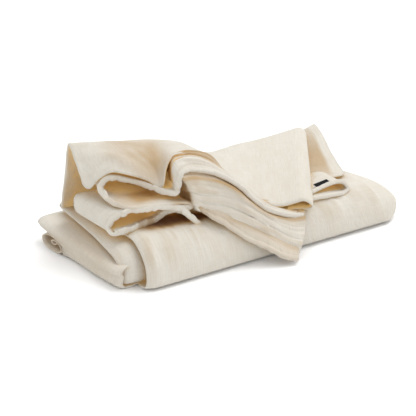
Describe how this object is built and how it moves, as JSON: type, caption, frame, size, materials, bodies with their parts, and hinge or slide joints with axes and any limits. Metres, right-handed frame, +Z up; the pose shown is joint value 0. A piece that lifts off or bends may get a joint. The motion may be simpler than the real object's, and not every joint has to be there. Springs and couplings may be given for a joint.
{
  "type": "burp cloth",
  "caption": "Cream muslin burp cloth folded into a long soft pad, its last folds heaped on top.",
  "frame": {"origin": "centre of the bounding box's bottom face, on the surface the cloth lies on", "axes": "+X along the folded pad towards its rounded end, +Y from the front edge to the back, +Z up"},
  "size_m": [0.3462, 0.2012, 0.119],
  "materials": {
    "muslin": "matt double gauze",
    "label_black": "satin woven tape"
  },
  "bodies": {
    "root": {"cloth": "muslin", "label": "label_black"}
  },
  "joints": []
}
